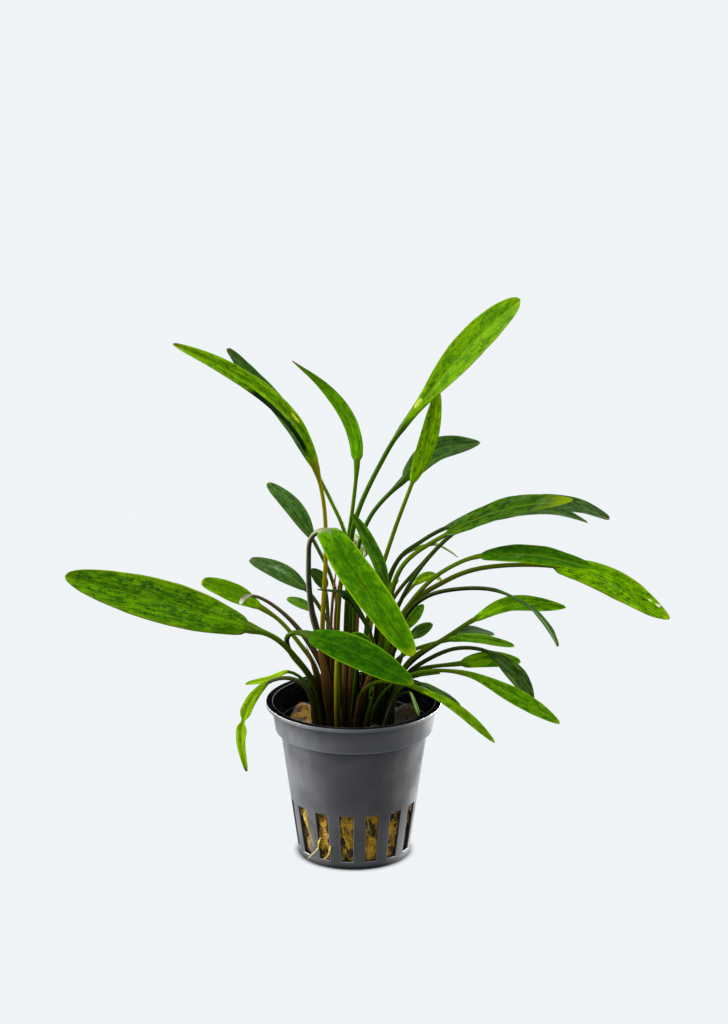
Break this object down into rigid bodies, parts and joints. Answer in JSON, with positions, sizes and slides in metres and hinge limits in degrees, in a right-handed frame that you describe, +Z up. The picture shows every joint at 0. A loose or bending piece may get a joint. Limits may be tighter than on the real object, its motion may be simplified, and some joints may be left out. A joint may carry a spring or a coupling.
{
  "type": "potted cryptocoryne",
  "caption": "Bushy cryptocoryne water plant with long arching leaves, growing from a rockwool plug in a slotted net pot.",
  "frame": {"origin": "middle of the net pot's underside, on the surface it stands on", "axes": "+Z up along the pot's axis, +Y away from the viewer of the picture, +X to the viewer's right"},
  "size_m": [0.1835, 0.0904, 0.1832],
  "materials": {
    "pot_plastic": "moulded dark blue-grey plastic, matt",
    "rockwool": "golden brown mineral fibre",
    "crown": "brown rootstock",
    "root": "pale yellow, smooth",
    "bright": "yellow-green leaf, wet and glossy",
    "mid": "deep green leaf, wet and glossy",
    "dark": "dark grey-green leaf, wet and glossy",
    "lime": "lime green leaf, wet",
    "brown": "brown wilted leaf"
  },
  "bodies": {
    "root": {"pot": "pot_plastic", "rockwool": "rockwool", "crown_left": "crown", "crown_front": "crown", "crown_middle": "crown", "crown_right": "crown", "crown_back": "crown", "crown_near": "crown", "leaf_left_long": "bright", "leaf_left_yellow": "lime", "leaf_left_rolled": "brown", "leaf_left_dark_upper": "dark", "leaf_left_dark_glossy": "dark", "leaf_left_dark_small": "dark", "leaf_left_small_pale": "bright", "leaf_rim_left_short": "lime", "leaf_rim_left_drooping": "lime", "leaf_top_left_bright": "bright", "leaf_top_left_dark": "dark", "leaf_top_middle": "bright", "leaf_top_right_tall": "bright", "leaf_top_right_dark": "dark", "leaf_top_right_narrow": "lime", "leaf_front_upper": "bright", "leaf_front_lower": "mid", "leaf_front_hidden": "mid", "leaf_middle_edge_on": "dark", "leaf_middle_upright": "dark", "leaf_middle_crumpled": "lime", "leaf_middle_tip": "lime", "leaf_right_high_front": "bright", "leaf_right_high_back": "dark", "leaf_right_high_dark": "dark", "leaf_right_high_hidden": "mid", "leaf_right_pale_thin": "lime", "leaf_right_arched_small": "lime", "leaf_right_mid_front": "bright", "leaf_right_mid_long": "bright", "leaf_right_dark_arch": "dark", "leaf_right_low_flat": "bright", "leaf_right_low_pale": "bright", "leaf_right_low_black": "dark", "leaf_right_dark_drooping": "dark", "leaf_right_low_light": "bright", "leaf_right_low_long": "bright", "leaf_rim_right_drooping": "bright", "leaf_rim_right_dark": "dark", "leaf_right_short_upper": "mid", "leaf_right_short_lower": "dark", "leaf_right_low_bit": "mid", "leaf_in_pot": "lime", "leaf_young_spear": "lime", "root_left_long": "root", "root_left_bent": "root", "root_front": "root"}
  },
  "joints": []
}
